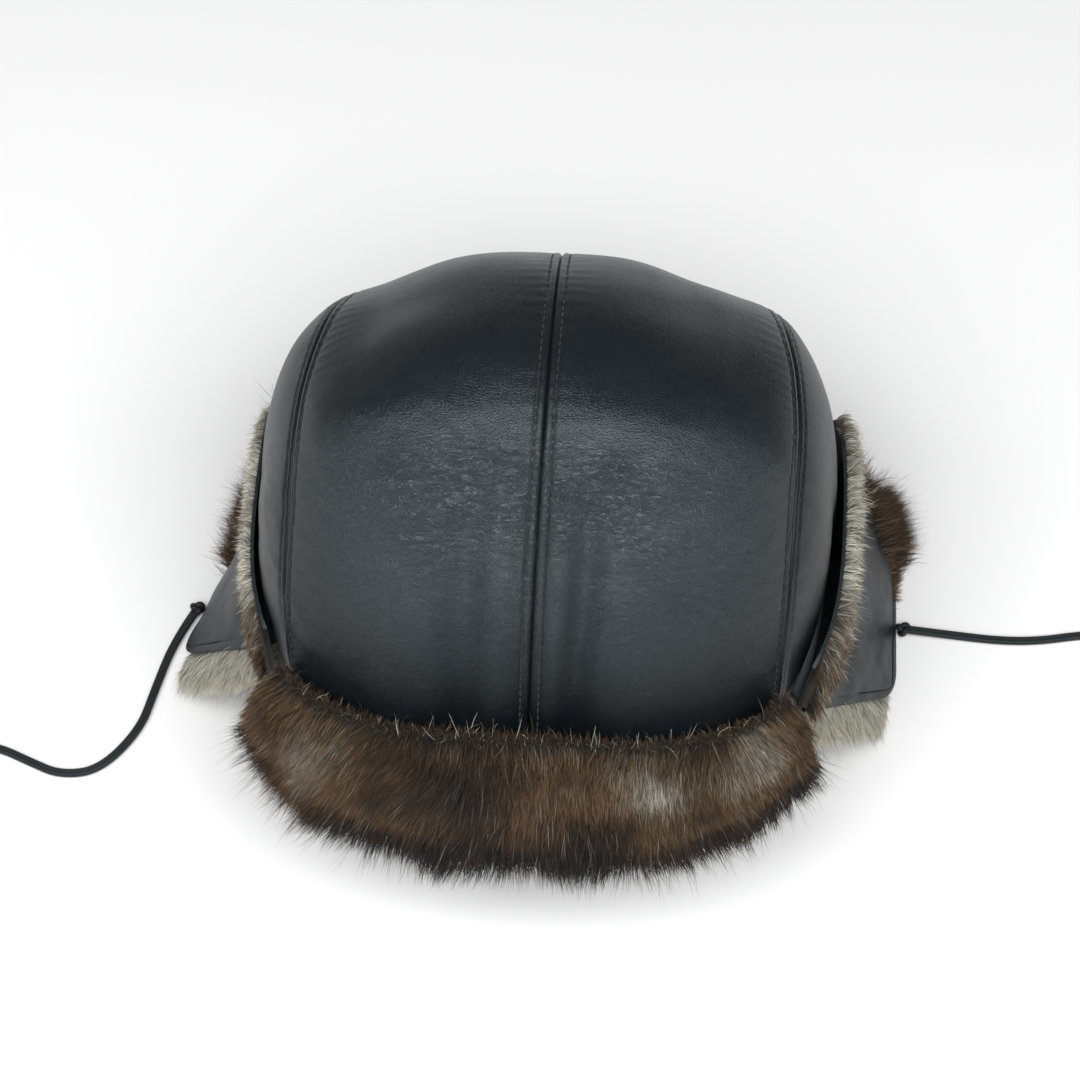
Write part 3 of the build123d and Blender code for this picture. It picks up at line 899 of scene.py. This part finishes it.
# ---- cuffs: a leather wall with fur outside ----
CUFFS = {
    "right": {"ends": (-31.0, 25.0), "height": 34.0, "lean": 2.6, "fur": (5.0, 5.5), "length": 8.5},
    "left": {"ends": (160.0, 211.0), "height": 34.0, "lean": 0.3, "fur": (4.5, 3.6), "length": 6.0},
    "nape": {"ends": (34.0, 146.0), "height": 18.0, "lean": 0.5, "fur": (6.0, 3.5), "length": 6.0},
}
CUFF_STAND_OFF = 2.85
CUFF_BOTTOM = RIM - 4
CUFF_CORNER = 14.0


def cuff_grid(cuff, thickness):
    """Points of a cuff at a share of its pile's thickness, with round upper corners if it is tall."""
    across, height = np.meshgrid(np.linspace(0, 1, 90), np.linspace(0, 1, 26))
    top = RIM + cuff["height"] - 0.8
    z = CUFF_BOTTOM + 0.5 + (top - CUFF_BOTTOM - 0.5) * height
    below = np.clip(CUFF_CORNER - (top - z), 0, CUFF_CORNER)
    inset = np.degrees((CUFF_CORNER - np.sqrt(CUFF_CORNER**2 - below**2)) / HALF_WIDTH)
    inset = inset * (cuff["height"] > 30)
    first, last = cuff["ends"]
    rear = inset * 2.2
    low_inset, high_inset = (inset, rear) if first < 0 else (rear, inset)
    angle = first + low_inset + (last - first - low_inset - high_inset) * across
    low = np.full(2, CUFF_STAND_OFF + cuff["fur"][0] * thickness)
    high = np.full(2, CUFF_STAND_OFF + cuff["lean"] + cuff["fur"][1] * thickness)
    return wall(angle, z, low, high, CUFF_BOTTOM, top)


def grow_cuff(place, cuff, seed):
    piece = Fur(seed)
    rng = piece.rng
    inner = cuff_grid(cuff, 0.0)
    height = np.linspace(0, 1, inner.shape[0])[:, None] + 0 * inner[..., 0]
    bump = (0.6 + 0.06 * waves(inner, 9, 61)) * (1 - smooth(0.8, 1.0, height) * 0.8)
    outer = inner + (cuff_grid(cuff, 1.0) - inner) * bump[..., None]
    piece.pile(outer, inner, np.full(inner.shape[:2], 0.45) + 0.06 * waves(inner, 9, 62))
    nape = place == "nape"

    def lay(count, reach, width, clump=0):
        """Hairs over the pile: the coat where they clump, and else guard hairs."""
        roots, height, _ = scatter(outer, count, rng)
        away = away_from_crown(roots)
        forwards = smooth(-20, -62, (roots - CENTRE)[:, 1])
        front = np.array([0.0, -1.0, 0.0]) * (0.15 + 0.5 * forwards)[:, None]
        drift = 0.3 * waves(roots, 16, 63)[:, None] * np.cross(away, UP)
        start = away * 0.55 + UP * (0.9 * height - 0.25)[:, None] + front * 0.6 + drift
        end = away * 0.5 - UP * (0.8 - 0.35 * height)[:, None] + front + drift
        roots = roots - away * 1.0
        length = reach * rng.uniform(0.7, 1.2, count)
        edge = smooth(0.35, 0.85, height)
        shade = 0.72 + 0.12 * edge - 0.26 * forwards + 0.10 * waves(roots, 13, 64)
        shade = shade + rng.normal(0, 0.08, count)
        if not clump:
            shade = piece.guard_shades(count, 0.5, 0.9, 0.12, 0.05)
        piece.hairs(roots, away, start, end, length, width, shade, clump, 0.55)

    scale = 1.4 if nape else 1.0
    lay(int(9000 * scale), cuff["length"], 0.5, 18)
    lay(int(4000 * scale), cuff["length"] * 1.2, 0.32, 8)
    lay(int(700 * scale), cuff["length"] * 1.45, 0.22)
    if nape:
        piece.build("nape_cuff_pelt", "nape_cuff", "nape_cuff_fur")
    else:
        piece.build(f"side_cuff_pelt_{place}", "crown", f"side_cuff_fur_{place}")


for seed, (place, cuff) in enumerate(CUFFS.items()):
    grow_cuff(place, cuff, 400 + seed)

# ---- ear flaps: as in the CAD model, from the crown's middle in plan ----
FLAPS = {
    "right": {"root": [(97, -58), (109, -4), (107, 48)], "tip": [(136, -24), (134, 40)]},
    "left": {"root": [(-99, -46), (-109, 4), (-104, 58)], "tip": [(-140.4, -25.6), (-120, 22)]},
}
FLAP_TOP = RIM - 10
FRONT_BORDER, REAR_BORDER = 14.0, 10.0
TIP_RADII = (9.0, 16.0)


def arc_through(first, middle, last, count=121):
    """Points of the circular arc through three points in plan."""
    a, b, c = (complex(*point) for point in (first, middle, last))
    w = (c - a) / (b - a)
    centre = (b - a) * (w - abs(w) ** 2) / (2j * w.imag) + a
    start, stop = np.angle(a - centre), np.angle(c - centre)
    turn = (stop - start + math.pi) % (2 * math.pi) - math.pi
    around = centre + (a - centre) * np.exp(1j * turn * np.linspace(0, 1, count))
    return np.stack((around.real, around.imag), -1)


def flap_ends(side, front, rear):
    """The root and the tip in plan, lengthened by a border at the front and at the rear."""
    flap = FLAPS[side]
    (f, m, r), (tf, tr) = np.array(flap["root"], float), np.array(flap["tip"], float)
    root = (f - unit(m - f) * front * 0.8, m, r - unit(m - r) * rear * 0.8)
    middle = (tf + tr) / 2 + (SIDES[side] * 1.5, 0)
    tip = (tf - unit(tr - tf) * front, middle, tr - unit(tf - tr) * rear)
    return root, tip


def flap_grid(side, front, rear, depth, rows=50, columns=70, bottom=0.0):
    """Points of an ear flap that many millimetres inside its outer face, from top to tip."""
    root, tip = (arc_through(*ends) for ends in flap_ends(side, FRONT_BORDER + 1, REAR_BORDER + 1))
    edge_root, edge_tip = flap_ends(side, front, rear)
    depth = depth if isinstance(depth, tuple) else (depth, depth)
    z = bottom + (FLAP_TOP - bottom) * (1 - np.linspace(0, 1, rows) ** 0.8)
    grid = np.empty((rows, columns, 3))
    for row, level in enumerate(z):
        share = 1 - level / FLAP_TOP
        line = root + (tip - root) * share
        ends = [edge_root[i][1] + (edge_tip[i][1] - edge_root[i][1]) * share for i in (0, 2)]
        for end, radius in enumerate(TIP_RADII):
            below = np.clip(radius - level, 0, radius)
            ends[end] += (1 - 2 * end) * (radius - math.sqrt(radius**2 - below**2))
        y = np.linspace(*ends, columns)
        x = np.interp(y, line[:, 1], line[:, 0])
        inwards = depth[0] + (depth[1] - depth[0]) * share
        grid[row] = np.stack((x - SIDES[side] * inwards, y, np.full(columns, level)), -1)
    return grid + CENTRE


def flap_leather_piece(side):
    grid = flap_grid(side, 0.0, 0.0, 0.0, 90, 130, 0.02)
    normals = grid_normals(grid)
    normals = normals * np.sign(normals[..., :1] * SIDES[side])
    across, down = np.meshgrid(np.linspace(0, 1, grid.shape[1]), np.linspace(0, 1, grid.shape[0]))
    inside = np.minimum(np.minimum(across, 1 - across) * 80, (1 - down) * 60)
    height = 0.9 * smooth(0, 16, inside) + 0.7 * smooth(0, 14, inside) * waves(grid, 20, 71)
    height = height - 0.5 * bell(inside - 4.0, 0.8) + 0.15 * waves(grid, 6, 72)
    surface = grid + normals * height[..., None]
    surface[..., 2] = np.maximum(surface[..., 2], 0.05)
    name = f"ear_flap_leather_skin_{side}"
    piece = thick_sheet(name, surface, flap_leather, LEATHER, flip=side == "left")
    attach(piece, f"ear_flap_{side}", "flap_leather", f"ear_flap_leather_{side}")


def grow_flap(side, seed):
    piece = Fur(seed)
    rng = piece.rng
    out = np.array([SIDES[side], 0.0, 0.0])
    borders = FRONT_BORDER - 1.5, REAR_BORDER - 1.5
    skin = flap_grid(side, *borders, 3.05, bottom=0.4)
    pile = flap_grid(side, *borders, (6.5, 8.5), bottom=0.4)
    pile = pile - out * waves(pile, 9, 81)[..., None] * 0.5
    tone = np.linspace(0, 1, pile.shape[1])[None, :] + 0 * pile[..., 0]
    shade = 0.74 - 0.40 * smooth(0.45, 0.9, tone)
    piece.pile(pile, skin, shade)

    def lay(grid, facing, count, reach, width, clump=0, borders_only=False):
        """Hairs over a grid or its borders: the coat where they clump, and else guard hairs."""
        roots, down, across = scatter(grid, count * (4 if borders_only else 1), rng)
        front = smooth(0.30, 0.0, across)
        rear = smooth(0.75, 1.0, across)
        tip = smooth(0.8, 1.0, down)
        if borders_only:
            keep = (across < 0.15) | (across > 0.89)
            roots, down, across, front, rear, tip = (
                values[keep] for values in (roots, down, across, front, rear, tip)
            )
        edgewards = np.array([0.0, 1.0, 0.0]) * (rear - front)[:, None]
        drift = 0.3 * waves(roots, 14, 82)[:, None] * np.array([0.0, 1.0, 0.0])
        start = facing * 0.8 + edgewards * 0.9 - UP * 0.2 + drift
        end = facing * 0.25 + edgewards * 1.2 - UP * (0.5 + 0.3 * tip)[:, None] + drift
        length = reach * rng.uniform(0.65, 1.2, len(roots)) * (1 + 0.7 * rear)
        length = length * (1 - 0.35 * tip * (1 - rear))
        tone = 0.92 - 0.50 * smooth(0.5, 0.9, across) + 0.08 * waves(roots, 11, 83)
        tone = tone + 0.10 * front + rng.normal(0, 0.08, len(roots))
        if not clump:
            tone = piece.guard_shades(len(roots), 0.8 - 0.65 * rear, 0.88, 0.06, 0.05)
        away = np.tile(facing, (len(roots), 1))
        piece.hairs(roots - facing * 0.8, away, start, end, length, width, tone, clump)

    def fringe(count, reach, where, direction, width, low, high):
        """Longer hairs along part of the edge, rooted where a share of the edge says."""
        rows, columns = skin.shape[:2]
        row = np.clip(rng.normal(where[0], 0.12, count), 0.25, 1) * (rows - 1)
        column = np.clip(rng.normal(where[1], 0.05, count), 0, 1) * (columns - 1)
        roots = skin[row.astype(int), column.astype(int)]
        away = np.tile(out, (count, 1))
        start = unit(np.array(direction)) + rng.normal(0, 0.3, (count, 3))
        end = unit(np.array(direction)) - UP * 0.2 + rng.normal(0, 0.3, (count, 3))
        length = reach * rng.uniform(0.4, 1.0, count)
        tone = rng.uniform(low, high, count)
        piece.hairs(roots - out * 1.5, away, start, end, length, width, tone, 9)

    sign = SIDES[side]
    fringe(5000, 22.0, (0.8, 0.95), (sign * 1.1, 0.6, 0.2), 0.45, 0.25, 0.6)
    fringe(600, 29.0, (0.8, 0.95), (sign * 1.1, 0.6, 0.3), 0.2, 0.0, 0.3)
    if side == "right":
        fringe(1500, 12.0, (1.0, 0.82), (sign * 1.0, 0.3, 0.1), 0.4, 0.3, 0.6)
    lay(pile, -out, 9000, 8.0, 0.5, 16)
    lay(pile, -out, 700, 12.0, 0.22)
    lay(skin, out, 7000, 10.0, 0.42, 12, borders_only=True)
    lay(skin, out, 900, 14.0, 0.22, borders_only=True)
    piece.build(f"ear_flap_pelt_{side}", f"ear_flap_{side}", f"ear_flap_fur_{side}")


for seed, side in enumerate(SIDES):
    flap_leather_piece(side)
    grow_flap(side, 500 + seed)

# ---- fold strips: soft leather that joins each moving piece to the rim ----
def fold_strip(name, top, bottom):
    """A strip from a line on the crown to a line on a body."""
    share = np.linspace(0, 1, 9)[:, None, None]
    strip = thick_sheet(name, top[None] + (bottom - top)[None] * share, flap_leather, 0.8)
    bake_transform(strip)


# where the strips are sewn under the rim, from the crown's waist and from the rim
RIM_OUT, RIM_DOWN = -4.0, 2.6
for body, ends, bottom in (
    ("visor", VISOR_ENDS, VISOR_BOTTOM + 1.2),
    ("nape_cuff", (32.5, 147.5), CUFF_BOTTOM + 0.6),
):
    angles = np.linspace(*ends, 80)
    fold_strip(
        f"{body.removesuffix('_cuff')}_fold_strip",
        upright_wall(angles, RIM - RIM_DOWN, RIM_OUT),
        upright_wall(angles, bottom, 2.2),
    )
for side, sign in SIDES.items():
    root = flap_grid(side, -1.0, -1.0, 1.0)[1]
    under_rim = root * (1, 1, 0) + (0, 0, RIM - 2.4)
    inside = (under_rim - CENTRE)[:, :2]
    across = np.abs(inside) / (HALF_WIDTH - 3, HALF_LENGTH - 6)
    reach = (across**SQUARENESS).sum(-1) ** (1 / SQUARENESS)
    under_rim[:, :2] = CENTRE[:2] + inside / np.maximum(reach, 1)[:, None]
    fold_strip(
        f"ear_flap_fold_strip_{side}",
        under_rim,
        root - (0, 0, 3),
    )

# ---- camera, floor and light ----
ELEVATION = math.radians(63)
AZIMUTH = math.radians(4)
DISTANCE = 1.2
LENS = 106.4
AIM_RIGHT, AIM_UP = -0.0026, 0.0011  # the hat sits a little to the right and below the middle


def set_camera():
    back = Vector(
        (
            math.sin(AZIMUTH) * math.cos(ELEVATION),
            -math.cos(AZIMUTH) * math.cos(ELEVATION),
            math.sin(ELEVATION),
        )
    )
    turn = (-back).to_track_quat("-Z", "Y")
    data = bpy.data.cameras.new("camera")
    data.lens = LENS
    data.sensor_width = 36.0
    camera = bpy.data.objects.new("camera", data)
    rim_middle = Vector(CENTRE * MM) + Vector((0, 0, RIM * MM))
    camera.location = rim_middle + back * DISTANCE + turn @ Vector((AIM_RIGHT, AIM_UP, 0))
    camera.rotation_mode = "QUATERNION"
    camera.rotation_quaternion = turn
    bpy.context.scene.collection.objects.link(camera)
    bpy.context.scene.camera = camera


def add_light(name, place, aim, size, power):
    data = bpy.data.lights.new(name, "AREA")
    data.shape = "RECTANGLE"
    data.size, data.size_y = size
    data.energy = power
    light = bpy.data.objects.new(name, data)
    light.location = place
    light.rotation_mode = "QUATERNION"
    light.rotation_quaternion = (Vector(aim) - Vector(place)).to_track_quat("-Z", "Y")
    bpy.context.scene.collection.objects.link(light)


def set_stage():
    half = 4000.0
    corners = np.array([(-half, -half, 0), (half, -half, 0), (half, half, 0), (-half, half, 0)])
    shader = Shader("floor", Roughness=0.9, Specular_IOR_Level=0.1)
    shader.feed("Base Color", shader.mix(shader.noise(300, 2), (0.86, 0.86, 0.86), (0.89, 0.89, 0.89)))
    floor = build_mesh("floor", corners, [np.array([[0, 1, 2, 3]])], shader.material)
    world = bpy.data.worlds.new("studio")
    world.use_nodes = True
    background = world.node_tree.nodes["Background"]
    background.inputs["Color"].default_value = (0.95, 0.97, 1.0, 1)
    background.inputs["Strength"].default_value = 0.09
    bpy.context.scene.world = world
    bpy.context.scene.view_settings.view_transform = "Standard"
    add_light("overhead", (0.0, -0.74, 1.65), (0.0, -0.74, 0.0), (2.8, 1.5), 62)
    add_light("front", (-0.3, -2.3, 1.0), (0.0, 0.0, 0.08), (2.6, 1.7), 6)


set_camera()
set_stage()

# ---- tie cords: the routes of part.py, in metres ----
CORD = 0.0033
ROUTES = {
    "right": {
        "points": [
            (0.1423, 0.0130, 0.003),
            (0.1609, 0.0123, 0.00165),
            (0.1805, 0.0111, 0.00165),
            (0.1962, 0.0122, 0.00165),
            (0.2138, 0.0162, 0.00165),
            (0.2327, 0.0170, 0.00165),
        ],
        "coil": (0.2347, 0.0345),
        "turns": 2.16,
    },
    "left": {
        "points": [
            (-0.1351, 0.0026, 0.003),
            (-0.1425, -0.0111, 0.00165),
            (-0.1477, -0.0330, 0.00165),
            (-0.1513, -0.0502, 0.00165),
            (-0.1646, -0.0680, 0.00165),
            (-0.1796, -0.0711, 0.00165),
            (-0.1919, -0.0665, 0.00165),
            (-0.2043, -0.0615, 0.00165),
            (-0.2190, -0.0600, 0.00165),
            (-0.2358, -0.0615, 0.00165),
        ],
        "coil": (-0.2348, -0.0440),
        "turns": 1.48,
    },
}
COIL_OUTER = 0.0194  # radius of the first turn's middle line
TURN_STEP = 0.0036
TURN_POINTS = 16
KNOT_PULL = 0.0032  # how far the end leaves its turn, towards its knot


def coil_points(middle, turns, direction):
    """Points of a flat coil that starts at its lowest Y and goes round inwards."""
    count = round(turns * TURN_POINTS)
    points = []
    for i in range(1, count + 1):
        turned = turns * i / count
        angle = math.radians(-90) + direction * 2 * math.pi * turned
        to_end = max(0.0, 1 - (turns - turned) / 0.16)
        radius = COIL_OUTER - TURN_STEP * turned - KNOT_PULL * to_end**2
        x = middle[0] + radius * math.cos(angle)
        y = middle[1] + radius * math.sin(angle)
        points.append((x, y, CORD / 2))
    return points


def centreline(points):
    """Points along the smooth line of a route, from its NURBS spline."""
    curve = bpy.data.curves.new("route", "CURVE")
    curve.dimensions = "3D"
    spline = curve.splines.new("NURBS")
    spline.points.add(len(points) - 1)
    for point, place in zip(spline.points, points):
        point.co = (*place, 1)
    spline.order_u = 3
    spline.use_endpoint_u = True
    spline.resolution_u = 8
    holder = bpy.data.objects.new("route", curve)
    bpy.context.scene.collection.objects.link(holder)
    bpy.context.view_layer.update()
    mesh = bpy.data.meshes.new_from_object(holder)
    line = np.array([vertex.co for vertex in mesh.vertices])
    bpy.data.objects.remove(holder)
    bpy.data.meshes.remove(mesh)
    return line


def lace(name, line):
    """A folded leather lace along a line in metres: two rolled edges with a groove between."""
    line = line / MM
    forward = unit(np.gradient(line, axis=0))
    up = np.tile((0.0, 0.0, 1.0), (len(line), 1))
    up = unit(up - forward * (up * forward).sum(-1, keepdims=True))
    across = np.cross(forward, up)
    turn = circle(20)
    width = CORD / MM / 2 * np.cos(turn)
    groove = 1 - 0.35 * bell(np.cos(turn), 0.22)
    height = CORD / MM * 0.42 * np.sign(np.sin(turn)) * np.abs(np.sin(turn)) ** 0.8 * groove
    ring = across[:, None] * width[:, None] + up[:, None] * height[:, None]
    points = line[:, None] + ring
    points[..., 2] = np.maximum(points[..., 2], 0.05)
    quads = grid_faces(len(line), len(turn), closed=True)
    caps = tube_caps(len(line), len(turn))
    return build_mesh(name, points.reshape(-1, 3), [quads, caps], cord_leather)


def tube(name, line, radius, sides):
    """A closed round tube along a loop of points in millimetres, which stays above the table."""
    forward = unit(np.roll(line, -1, 0) - np.roll(line, 1, 0))
    side_way = unit(np.cross(forward, (0.31, 0.52, 0.8)))
    up = np.cross(side_way, forward)
    turn = circle(sides)[:, None]
    ring = side_way[:, None] * np.cos(turn) + up[:, None] * np.sin(turn)
    points = (line[:, None] + ring * radius).reshape(-1, 3)
    points[:, 2] = np.maximum(points[:, 2], 0.1)
    quads = grid_faces(len(line) + 1, sides, closed=True) % len(points)
    return build_mesh(name, points, [quads], cord_leather)


def knot(name, node):
    """A small round knot of lace in the place of a CAD node."""
    low, high = box_mm(node)
    middle, size = (low + high) / 2, (high - low)[0] / 2
    t = circle(96)
    trefoil = np.stack(
        (np.sin(t) + 2 * np.sin(2 * t), np.cos(t) - 2 * np.cos(2 * t), -1.4 * np.sin(3 * t)), -1
    )
    thickness = size * 0.40
    line = middle + trefoil / 3.0 * (size - thickness * 0.8)
    line[:, 2] = np.maximum(line[:, 2], thickness + 0.1)
    return tube(name, line, thickness, 10)


for side in SIDES:
    route = ROUTES[side]
    going = 1 if route["points"][-1][0] > route["points"][-2][0] else -1
    turns = coil_points(route["coil"], route["turns"], going)
    line = centreline(route["points"] + turns)
    cord = lace(f"tie_lace_{side}", line)
    attach(cord, f"tie_{side}", "cord_leather", f"tie_cord_{side}", f"tie_coil_{side}")
    for end in ("tie_knot", "tie_end_knot"):
        piece = knot(f"{end}_lace_{side}", f"{end}_{side}")
        attach(piece, f"tie_{side}", "cord_leather", f"{end}_{side}")
    middle = np.array((*route["coil"], 0)) / MM
    t = circle(40)
    # a loop that goes round all of the coil's turns, from inside to outside
    loop = np.stack((17.6 + 5.3 * np.cos(t), 0.12 * t, 1.9 + 2.1 * np.sin(t)), -1)
    keeper = tube(f"coil_tie_{side}", middle + loop, 0.55, 8)
    attach(keeper, f"tie_{side}", "cord_leather")

# ---- the CAD nodes that stay get their finished materials ----
NODE_MATERIALS = {
    "sweatband": band_leather,
    "rim_binding": tape_material,
    "size_label": label_material,
    "side_cuff_leather": flap_leather,
    "nape_cuff_leather": flap_leather,
    "ear_flap_interlining": tape_material,
}
for node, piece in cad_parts.items():
    for start, material in NODE_MATERIALS.items():
        if node.startswith(start):
            for slot in piece.material_slots:
                slot.material = material
